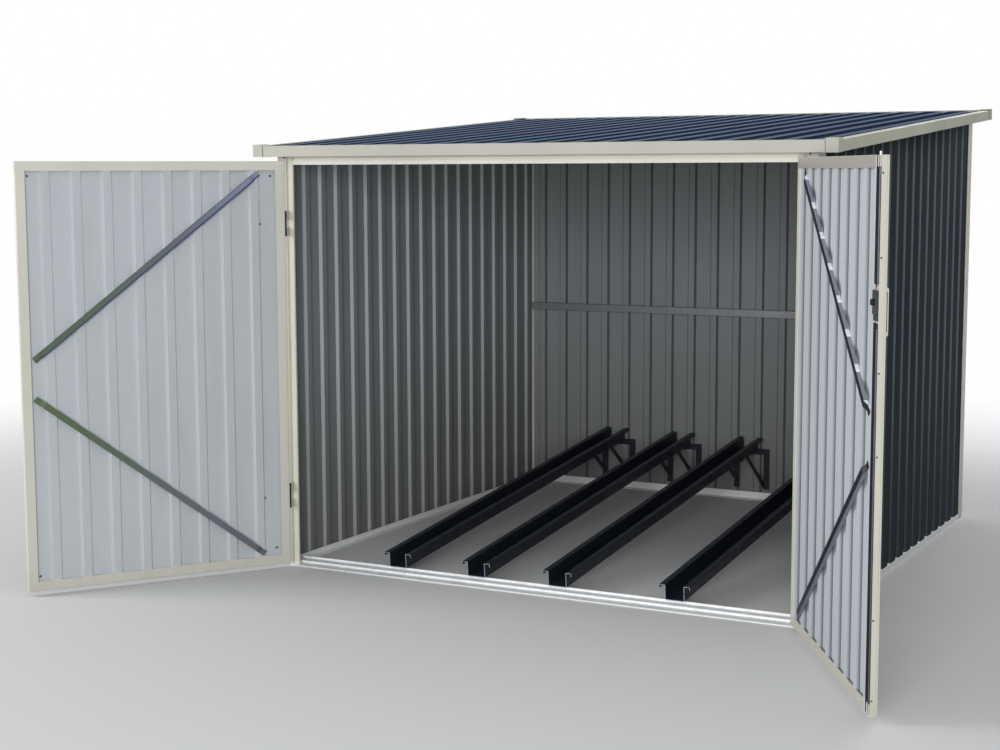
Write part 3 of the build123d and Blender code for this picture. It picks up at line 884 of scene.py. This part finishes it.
def close_rows(mesh: bmesh.types.BMesh, rows: list[list[bmesh.types.BMVert]]) -> None:
    """Close rows of vertices into a solid.

    Args:
        mesh: The mesh that holds them.
        rows: The rows from its foot to its top, all with as many vertices.
    """
    mesh.faces.new(rows[0][::-1])
    for low, high in zip(rows, rows[1:]):
        for index in range(len(low)):
            after = (index + 1) % len(low)
            mesh.faces.new((low[index], low[after], high[after], high[index]))
    mesh.faces.new(rows[-1])


@dataclass(frozen=True)
class Ring:
    """One ring of a screw head: its radius and height as shares, and how it is cut."""

    radius: float
    level: float
    corners: int = 0
    waist: float = 1.0
    arm: float = 0.3

    def at(self, turn: float) -> float:
        """Radius share at an angle.

        Args:
            turn: The angle round the head, in radians.

        Returns:
            The share: a polygon's side for a cut with corners, pulled in between them by the waist.
        """
        if not self.corners:
            return self.radius
        half = math.pi / self.corners
        off = (turn + half) % (2 * half) - half
        if self.waist < 1.0:
            return self.radius * (1.0 if abs(off) < self.arm * half else self.waist)
        return self.radius * math.cos(half) / math.cos(half - abs(off))


class Head(Enum):
    """Shapes of screw heads, each as rings from the seat to the top."""

    PAN = (
        Ring(1.0, -0.1), Ring(1.0, 0.3), Ring(0.94, 0.62), Ring(0.76, 0.88), Ring(0.5, 1.0),
        Ring(0.44, 1.0, 4, 0.34), Ring(0.36, 0.5, 4, 0.3),
    )
    HEX = (
        Ring(1.0, -0.1), Ring(1.0, 0.16), Ring(0.9, 0.24), Ring(0.66, 0.24, 6), Ring(0.66, 0.9, 6),
        Ring(0.54, 1.0), Ring(0.3, 0.96),
    )


@dataclass(frozen=True)
class Screw:
    """One kind of screw head, by its radius and height in metres."""

    head: Head
    radius: float
    height: float
    sides: int = 24

    def add_to(self, mesh: bmesh.types.BMesh, seat: Vector, out: Vector) -> None:
        """Add a head to a mesh.

        Args:
            mesh: The mesh that grows.
            seat: Where the head stands.
            out: The level way that it points.
        """
        side = Vector(UPWARD).cross(out).normalized()
        rise = out.cross(side)
        turns = [2 * math.pi * index / self.sides for index in range(self.sides)]
        rows = []
        for ring in self.head.value:
            middle = seat + out * (ring.level * self.height)
            row = []
            for turn in turns:
                spoke = side * math.cos(turn) + rise * math.sin(turn)
                row.append(mesh.verts.new(middle + spoke * (ring.at(turn) * self.radius)))
            rows.append(row)
        close_rows(mesh, rows)


FLUSH_SCREW = Screw(Head.PAN, 0.0027, 0.001)
RIVET = Screw(Head.PAN, 0.0042, 0.0024)
PAN_SCREW = Screw(Head.PAN, 0.0036, 0.0022)
HEX_SCREW = Screw(Head.HEX, 0.0068, 0.0046)


def new_piece(name: str, mesh: bmesh.types.BMesh, finish: Finish, body: str) -> None:
    """Turn a mesh into a dressed piece that rides on a body.

    Args:
        name: The piece's name.
        mesh: Its mesh, which is freed.
        finish: Its finish.
        body: The body that it rides on.
    """
    data = bpy.data.meshes.new(name)
    bmesh.ops.recalc_face_normals(mesh, faces=mesh.faces)
    mesh.to_mesh(data)
    mesh.free()
    piece = bpy.data.objects.new(name, data)
    bpy.context.scene.collection.objects.link(piece)
    finish.dress(piece)
    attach(piece, body)
    LOG.info("%s: %d faces, %s", name, len(data.polygons), finish.name)


@dataclass
class Fixings:
    """Screws of one kind and finish on one body, joined in one piece."""

    name: str
    screw: Screw
    finish: Finish
    body: str
    slot: str
    reach: float = 0.03

    def __post_init__(self) -> None:
        """Start the joined mesh."""
        self.mesh = bmesh.new()

    def fasten(self, node: str, points: list[Vector], out: Vector) -> None:
        """Seat a screw on a carried-over piece at each point.

        Args:
            node: The piece that carries the screws.
            points: Places near its surface.
            out: The way that the heads point.

        Raises:
            ValueError: If nothing lies under a point.
        """
        tree = BVHTree.FromObject(frame["nodes"][node], bpy.context.evaluated_depsgraph_get())
        for point in points:
            seat = tree.ray_cast(point + out * self.reach, -out, 2 * self.reach)[0]
            if seat is None:
                raise ValueError(f"{self.name}: nothing under {tuple(point)} on {node}")
            self.screw.add_to(self.mesh, seat, out)

    def finish_piece(self) -> None:
        """Make the piece."""
        new_piece(self.name, self.mesh, self.finish, self.body)


def dress_nodes(finish: Finish, *names: str) -> None:
    """Dress carried-over pieces.

    Args:
        finish: Their finish.
        names: Their names.
    """
    for name in names:
        finish.dress(frame["nodes"][name])
        LOG.info("%s: %s", name, finish.name)


@dataclass(frozen=True)
class WallTones:
    """One wall: the ways that it and its lit flanks face, and the colours of its flanks: painted light and
    shade.
    """

    node: str
    outward: Direction
    lit_way: Direction
    inner_flank: Colour
    inner_shade: Colour
    flank: Colour


# inner flanks: painted light on the lit one, painted shade on the other
SIDE_FLANKS = (linear(186, 189, 191), linear(78, 81, 83))
BACK_FLANKS = (linear(150, 154, 156), linear(92, 95, 97))


@dataclass
class Shell:
    """Walls, corner posts, base and top rails, with their fillers and screws."""

    # the leaves' pale primer made darker: painted shade inside the shelter
    inside: Colour = linear(150, 154, 156)
    # the last colour of each: the outer flanks' painted sheen, brightest on the right wall
    walls: tuple[WallTones, ...] = (
        WallTones("wall_left", (-1.0, 0.0, 0.0), FRONTWARD, *SIDE_FLANKS, linear(84, 92, 99)),
        WallTones("wall_right", RIGHTWARD, FRONTWARD, *SIDE_FLANKS, linear(134, 143, 149)),
        WallTones("wall_back", REARWARD, (-1.0, 0.0, 0.0), *BACK_FLANKS, linear(76, 84, 91)),
    )
    # darkens the walls' inner faces low down: painted shade
    dust_and_shade_share: float = 0.45
    # how much painted sheen is left at the wall's foot
    foot_sheen: float = 0.35
    fold_reach: float = 0.002
    rib_pitch: float = 0.1
    side_crest: float = 0.01
    back_crest: float = -0.046
    rail_gauge: float = 0.0015
    rib_depth: float = 0.01
    valley_half: float = 0.0125
    mouth_half: float = 0.0185
    filler_foot: float = 0.0016
    filler_top: float = 0.0212
    filler_slack: float = 0.0002
    filler_edge: float = 0.001
    filler_steps: int = 2
    side_margin: float = 0.1
    flange_inset: float = 0.022
    flange_levels: tuple[float, ...] = (0.12, 0.52, 0.93, 1.33)
    girt_level: float = 0.776

    def build(self) -> None:
        """Dress the shell."""
        for wall in self.walls:
            dress_nodes(self._sheet(wall), wall.node)
        dress_nodes(CREAM, "corner_post_left", "corner_post_right")
        dress_nodes(RAIL_WHITE, "base_rail_left", "base_rail_right", "base_rail_back")
        dress_nodes(PALE_ZINC, "door_sill")
        dress_nodes(ZINC, "top_rail_left", "top_rail_right", "top_rail_back", "roof_beam", "rear_girt")
        for side in Side:
            self._side_fillers(side)
        self._post_screws()
        self._back_screws()

    def _sheet(self, wall: WallTones) -> TwoToneSheet:
        """The finish of one wall's sheet.

        Args:
            wall: The wall.

        Returns:
            The finish.
        """
        low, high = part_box(wall.node)
        corner = Vector(high if sum(wall.outward) > 0 else low)
        crest = Vector(wall.outward).dot(corner)
        return TwoToneSheet(
            f"{wall.node} sheet", ANTHRACITE, 0.6, gloss_level=0.015, outward=wall.outward,
            inside=self.inside, inner_flank=wall.inner_flank, inner_shade=wall.inner_shade,
            lit_way=wall.lit_way, flank=wall.flank, sheen_way=wall.lit_way,
            sheen_span=(crest - self.rib_depth, crest - self.fold_reach),
            foot_sheen=self.foot_sheen, dust_and_shade_share=self.dust_and_shade_share,
        )

    def _valleys(self, low: float, high: float, crest: float) -> list[float]:
        """Find the sheet's valleys between two places.

        Args:
            low: The first place.
            high: The last place.
            crest: The middle of any crest.

        Returns:
            The valleys' middles.
        """
        first = math.ceil((low - crest) / self.rib_pitch - 0.5)
        last = math.floor((high - crest) / self.rib_pitch - 0.5)
        return [crest + (index + 0.5) * self.rib_pitch for index in range(first, last + 1)]

    def _side_fillers(self, side: Side) -> None:
        """Close the foot of a side wall's valleys with white fillers behind the rail's edge.

        Args:
            side: The wall's side.
        """
        rail_low, rail_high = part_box(f"base_rail_{side.name.lower()}")
        rail = rail_high[0] if side is Side.RIGHT else rail_low[0]
        outer = rail - side.value * (self.rail_gauge + self.filler_slack)
        inner = rail - side.value * (self.rail_gauge + self.rib_depth - self.filler_slack)
        mouth = self.mouth_half - self.filler_slack
        valley = self.valley_half - self.filler_slack
        mesh = bmesh.new()
        for middle in self._valleys(rail_low[1] + self.side_margin / 2, rail_high[1], self.side_crest):
            plan = (
                (outer, middle - mouth), (outer, middle + mouth),
                (inner, middle + valley), (inner, middle - valley),
            )
            rows = []
            for level in (self.filler_foot, self.filler_top):
                rows.append([mesh.verts.new((x, y, level)) for x, y in plan])
            close_rows(mesh, rows)
        bmesh.ops.bevel(
            mesh, geom=mesh.edges[:], offset=self.filler_edge, segments=self.filler_steps, affect="EDGES",
        )
        new_piece(f"foot_fillers_{side.name.lower()}", mesh, FILLER_WHITE, "shelter")

    def _post_screws(self) -> None:
        """Screw the posts' and jambs' side flanges to the sheets."""
        screws = Fixings("flange_screws", PAN_SCREW, CREAM_SCREW, "shelter", "trim")
        for side in Side:
            name = side.name.lower()
            out = Vector((side.value, 0.0, 0.0))
            low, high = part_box(f"corner_post_{name}")
            outer = high[0] if side is Side.RIGHT else low[0]
            depths = {f"corner_post_{name}": high[1] - self.flange_inset, f"jamb_{name}": self.flange_inset}
            for node, depth in depths.items():
                places = [Vector((outer, depth, level)) for level in self.flange_levels]
                screws.fasten(node, places, out)
        screws.finish_piece()

    def _back_screws(self) -> None:
        """Screw the rear wall to its girt, at every other crest."""
        screws = Fixings("girt_screws", HEX_SCREW, SHEET_SCREW, "shelter", "cladding")
        low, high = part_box("wall_back")
        step = 2 * self.rib_pitch
        half = int((high[0] - low[0]) / step) // 2
        middles = [self.back_crest + step * index for index in range(-half, half + 1)]
        places = [Vector((middle, high[1], self.girt_level)) for middle in middles]
        screws.fasten("wall_back", places, Vector(REARWARD))
        screws.finish_piece()


@dataclass
class Front:
    """Jambs and header round the doorway, with the screws at their tops."""

    # lighter copies of the cream: painted light on the jambs, and more on the header under the fascia's shade
    jamb_coat: Finish = PowderCoat("jamb powder coat", linear(214, 212, 199))
    header_coat: Finish = PowderCoat("header powder coat", linear(236, 234, 222))
    screw_place: tuple[float, float] = (0.928, 1.412)

    def build(self) -> None:
        """Dress the front frame."""
        dress_nodes(self.jamb_coat, "jamb_left", "jamb_right")
        dress_nodes(self.header_coat, "door_header")
        screws = Fixings("jamb_screws", PAN_SCREW, TRIM_SCREW, "shelter", "trim")
        across, level = self.screw_place
        for side in Side:
            place = Vector((side.value * across, 0.0, level))
            screws.fasten(f"jamb_{side.name.lower()}", [place], Vector(FRONTWARD))
        screws.finish_piece()


@dataclass
class Roof:
    """Roof sheet with its fascias, barges and corner caps."""

    seam: float = 1.49
    # where the corner caps' edges lie on the fascias, which get a painted shadow line there
    cap_edge: float = 0.986
    ribs: Direction = (1.0, 0.15, 1.0)
    # flank colour: a painted sky reflection on the roof's lit flanks
    flank_sheen: Colour = linear(140, 156, 176)
    # painted shade on the barges' and caps' sideways faces, tinted green as a painted grass reflection,
    # darker at the rear
    painted_side_shade: Colour = linear(178, 181, 155)
    painted_rear_shade: Colour = linear(150, 154, 130)

    def build(self) -> None:
        """Dress the roof."""
        sheet = TwoToneSheet(
            "roof sheet", ROOF_NAVY, 0.7, gloss_level=0.0, flank=self.flank_sheen, sheen_way=RIGHTWARD,
            ribs=self.ribs,
        )
        dress_nodes(sheet, "roof_sheet")
        # painted shadow line on the fascias along the caps' edges
        capped = PowderCoat("capped powder coat", FASCIA_COLOUR, seam=self.cap_edge, seam_way=RIGHTWARD)
        dress_nodes(capped, "fascia_front", "fascia_rear")
        # the barges and caps: a real butt joint, and painted shade on their sideways faces
        jointed = PowderCoat(
            "jointed powder coat", FASCIA_COLOUR, seam=self.seam, painted_side_shade=self.painted_side_shade,
            painted_rear_shade=self.painted_rear_shade,
        )
        dress_nodes(jointed, "barge_left", "barge_right", "roof_corner_caps")


@dataclass
class Tracks:
    """The four wheel tracks and their stands."""

    count: int = 4

    def build(self) -> None:
        """Dress the tracks."""
        dress_nodes(TRACK_PAINT, *(f"wheel_track_{number}" for number in range(1, self.count + 1)))
        dress_nodes(STAND_PAINT, "track_stands")


@dataclass
class Leaf:
    """One door leaf, hung on a side of the doorway and standing open."""

    side: Side
    # inner flanks painted lighter than the sheet: painted light, the far flank lightened more to soften its
    # shade
    inner_flank: Colour = linear(210, 215, 218)
    inner_shade: Colour = linear(246, 249, 251)
    ridge: Colour | None = None
    sheet_depths: Span = (0.0025, 0.0125)
    outer_face: float = -0.006
    hinge_rows: tuple[float, ...] = (0.249, 1.189)
    edge_rows: tuple[float, float] = (0.062, 1.353)
    edge_shift: tuple[float, float] = (0.01, -0.003)
    hinge_screw: float = 0.0925
    edge_screw: float = 0.054
    free_screw: float = 0.8675
    brace_ends: tuple[Span, Span] = ((0.1, 1.359), (0.867, 0.766))
    brace_width: float = 0.02
    lip_inset: float = 0.0025

    def __post_init__(self) -> None:
        """Read the leaf's hinge and its rest from the frame."""
        self.name = "left_door" if self.side is Side.LEFT else "right_door"
        joints = frame["record"]["behaviour"]["joints"]
        joint = next(entry for entry in joints if entry["child"] == self.name)
        turn = math.radians(-joint["range_deg"][0])
        self.hinge = Vector((*joint["pos_m"][:2], 0.0))
        self.way = Vector((-self.side.value * math.cos(turn), -math.sin(turn), 0.0))
        self.inward = Vector((self.way.y, -self.way.x, 0.0)) * self.side.value

    def at(self, along: float, inward: float, level: float) -> Vector:
        """The place at these distances from the hinge's foot: along the leaf, inward and up."""
        return self.hinge + self.way * along + self.inward * inward + Vector((0.0, 0.0, level))

    def build(self) -> None:
        """Dress the leaf and screw it together."""
        base = self.inward.dot(self.hinge)
        low, high = self.sheet_depths
        sheet = TwoToneSheet(
            f"{self.name} sheet", ANTHRACITE, 0.55, outward=tuple(-self.inward),
            inner_flank=self.inner_flank, inner_shade=self.inner_shade, lit_way=tuple(self.way),
            ridge=self.ridge, ridge_span=(-base - high, -base - low),
        )
        dress_nodes(sheet, f"{self.name}_sheet")
        dress_nodes(LEAF_CREAM, f"{self.name}_hinge_stile")
        self.rails()
        dress_nodes(self.brace_finish(), f"{self.name}_braces")
        barrel = HingeCoat(
            f"{self.name} hinge coat", linear(7, 7, 7), 0.5, worn=linear(30, 30, 30), gloss_level=0.1,
            axis=tuple(self.hinge[:2]),
        )
        dress_nodes(barrel, f"{self.name}_hinges", f"{self.name}_hinge_pins")
        self.free_edge()
        self.outer_screws()

    def rails(self) -> None:
        """Dress the rails."""
        dress_nodes(LEAF_CREAM, f"{self.name}_bottom_rail", f"{self.name}_top_rail")

    def brace_finish(self) -> Finish:
        """Choose the braces' finish: painted reflections, and painted shade along a lip of the upper one.

        Returns:
            The finish.
        """
        (near, top), (far, foot) = self.brace_ends
        across = Vector((top - foot, far - near)).normalized()
        lip_way = self.way * across.x + Vector(UPWARD) * across.y
        start = self.way.dot(self.hinge)
        middle = across.x * (start + near) + across.y * top
        # lavender and grey: painted sky reflections on the zinc
        return BraceZinc(
            f"{self.name} brace zinc", linear(150, 157, 184), 0.45, metallic=0.2,
            lower=linear(108, 109, 118), way=tuple(self.way), inward=tuple(self.inward), start=start,
            lip_way=tuple(lip_way), lip=middle - self.brace_width / 2 + self.lip_inset,
        )

    def free_edge(self) -> None:
        """Dress the stile at the free edge."""
        dress_nodes(LEAF_CREAM, f"{self.name}_lock_stile")

    def sheet_places(self, inward: float) -> list[Vector]:
        """Where screws hold the sheet to the stiles and hinges.

        Args:
            inward: Where the sheet's face lies.

        Returns:
            The places.
        """
        places = [self.at(self.free_screw, inward, level) for level in self.edge_rows]
        shifted = [level + shift for level, shift in zip(self.edge_rows, self.edge_shift)]
        places += [self.at(self.edge_screw, inward, level) for level in shifted]
        return places + [self.at(self.hinge_screw, inward, level) for level in self.hinge_rows]

    def outer_screws(self) -> None:
        """Put the painted heads on the outer face."""
        screws = Fixings(f"{self.name}_outer_screws", HEX_SCREW, SHEET_SCREW, self.name, "cladding")
        screws.fasten(f"{self.name}_sheet", self.sheet_places(self.outer_face), -self.inward)
        screws.finish_piece()


@dataclass
class LeftLeaf(Leaf):
    """The left leaf, whose inner face shows its rivets."""

    side: Side = Side.LEFT
    inner_face: float = 0.014
    rail_screws: tuple[float, ...] = (1.385, 1.372)
    rail_screw_along: float = 0.0256

    def free_edge(self) -> None:
        """Dress the free stile, and put rivets on the sheet and screws on the rail."""
        super().free_edge()
        rivets = Fixings("left_door_rivets", RIVET, TRIM_SCREW, self.name, "cladding")
        rivets.fasten("left_door_sheet", self.sheet_places(self.inner_face), self.inward)
        rivets.finish_piece()
        screws = Fixings("left_door_rail_screws", PAN_SCREW, BRIGHT_SCREW, self.name, "trim")
        places = [self.at(self.rail_screw_along, self.inner_face, level) for level in self.rail_screws]
        screws.fasten("left_door_top_rail", places, self.inward)
        screws.finish_piece()


@dataclass
class RightLeaf(Leaf):
    """The right leaf, with its lock channel, case, bolts and pull."""

    side: Side = Side.RIGHT
    # inner flanks painted dark: painted shade, with a painted highlight at the ridge
    inner_flank: Colour = linear(80, 83, 90)
    inner_shade: Colour = linear(80, 83, 90)
    ridge: Colour | None = linear(170, 174, 180)
    free_screw: float = 0.84
    channel_middle: float = 0.8815
    channel_floor: float = -0.0045
    lining_slack: float = 0.001
    end: float = 0.908
    end_levels: tuple[float, ...] = (0.058, 0.262, 0.669, 0.874, 1.154, 1.357)
    end_inward: float = 0.0105
    first_glint: float = 0.132
    # painted shade on each rail's inner face
    inner_rail_shades: tuple[tuple[str, Colour], ...] = (
        ("top_rail", linear(170, 167, 159)),
        ("bottom_rail", CREAM_COLOUR),
    )

    def rails(self) -> None:
        """Dress the rails, with a painted shade on their inner faces."""
        for rail, colour in self.inner_rail_shades:
            coat = PowderCoat(
                f"{rail} powder coat", LEAF_CREAM.colour, painted_side_shade=colour,
                side_way=tuple(self.inward), one_sided=True,
            )
            dress_nodes(coat, f"{self.name}_{rail}")

    def brace_finish(self) -> Finish:
        """Choose the finish of the braces, with painted glints over the ribs and painted shade on their
        faces.

        Returns:
            The finish.
        """
        # grey all along and a dark face: painted reflection and painted shade
        grey = linear(133, 136, 146)
        return BraceZinc(
            f"{self.name} brace zinc", linear(132, 138, 160), 0.45, metallic=0.2,
            lower=grey, olive_reflection=grey, middle=grey, shade=linear(22, 25, 33), shade_on_face=True,
            way=tuple(self.way), inward=tuple(self.inward), start=self.way.dot(self.hinge),
            first_glint=self.first_glint,
        )

    def free_edge(self) -> None:
        """Dress the lock channel and what it holds, and screw its edge."""
        middle = self.way.dot(self.hinge) + self.channel_middle
        floor = self.inward.dot(self.hinge) + self.channel_floor + self.lining_slack
        lined = LinedCoat(
            "lined powder coat", linear(208, 207, 194), way=tuple(self.way), inward=tuple(self.inward),
            middle=middle, floor=floor,
        )
        dress_nodes(lined, "right_door_lock_stile")
        knob = LockCoat("lock case coat", linear(62, 63, 64), 0.5, way=tuple(self.way), middle=middle)
        dress_nodes(knob, "right_door_lock_case")
        dress_nodes(SATIN, "right_door_handle")
        low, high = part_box("right_door_lock_stile")
        bolts = BoltZinc(
            "bolt zinc", linear(226, 226, 224), 0.35, metallic=0.3, way=tuple(self.way),
            middle=middle, foot=low[2], top=high[2],
        )
        dress_nodes(bolts, "right_door_shoot_bolts")
        screws = Fixings("right_door_edge_screws", FLUSH_SCREW, TRIM_SCREW, self.name, "trim")
        places = [self.at(self.end, self.end_inward, level) for level in self.end_levels]
        screws.fasten("right_door_lock_stile", places, self.way)
        screws.finish_piece()


def main() -> None:
    """Build the studio and the shelter's parts in order."""
    logging.basicConfig(level=logging.INFO, format="%(message)s")
    PhotoCamera().build()
    Studio().build()
    for part in (Shell(), Front(), Roof(), Tracks(), LeftLeaf(), RightLeaf()):
        part.build()


if __name__ == "__main__":
    main()
